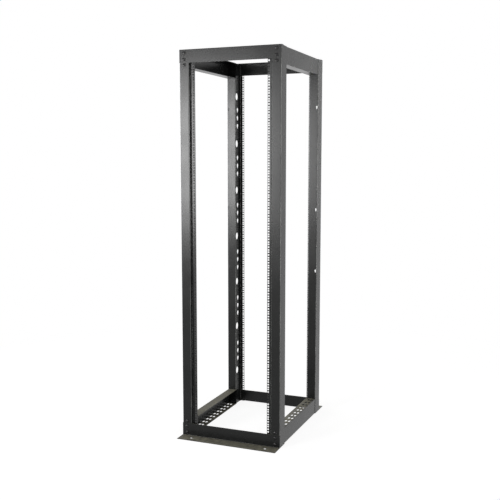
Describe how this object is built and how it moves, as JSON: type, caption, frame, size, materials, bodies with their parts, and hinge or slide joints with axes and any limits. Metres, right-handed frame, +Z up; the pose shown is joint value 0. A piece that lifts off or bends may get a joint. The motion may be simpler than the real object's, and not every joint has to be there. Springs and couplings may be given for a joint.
{
  "type": "four-post open frame rack",
  "caption": "Tall open frame rack of folded black steel: channel posts, square-hole mounting rails, top beams, side channels and base angles drilled for floor bolts.",
  "frame": {"origin": "on the floor, at the middle of the rack's footprint", "axes": "+X to the right of a person facing the front, +Y from front to rear, +Z up along the posts"},
  "size_m": [0.624, 0.927, 2.286],
  "materials": {
    "black_powder_coat": "satin black powder coat"
  },
  "bodies": {
    "root": {"front_left_post": "black_powder_coat", "front_right_post": "black_powder_coat", "rear_left_post": "black_powder_coat", "rear_right_post": "black_powder_coat", "front_left_mounting_rail": "black_powder_coat", "front_right_mounting_rail": "black_powder_coat", "rear_left_mounting_rail": "black_powder_coat", "rear_right_mounting_rail": "black_powder_coat", "front_top_beam": "black_powder_coat", "rear_top_beam": "black_powder_coat", "front_base_angle": "black_powder_coat", "rear_base_angle": "black_powder_coat", "left_bottom_channel": "black_powder_coat", "right_bottom_channel": "black_powder_coat", "left_top_channel": "black_powder_coat", "right_top_channel": "black_powder_coat"}
  },
  "joints": []
}
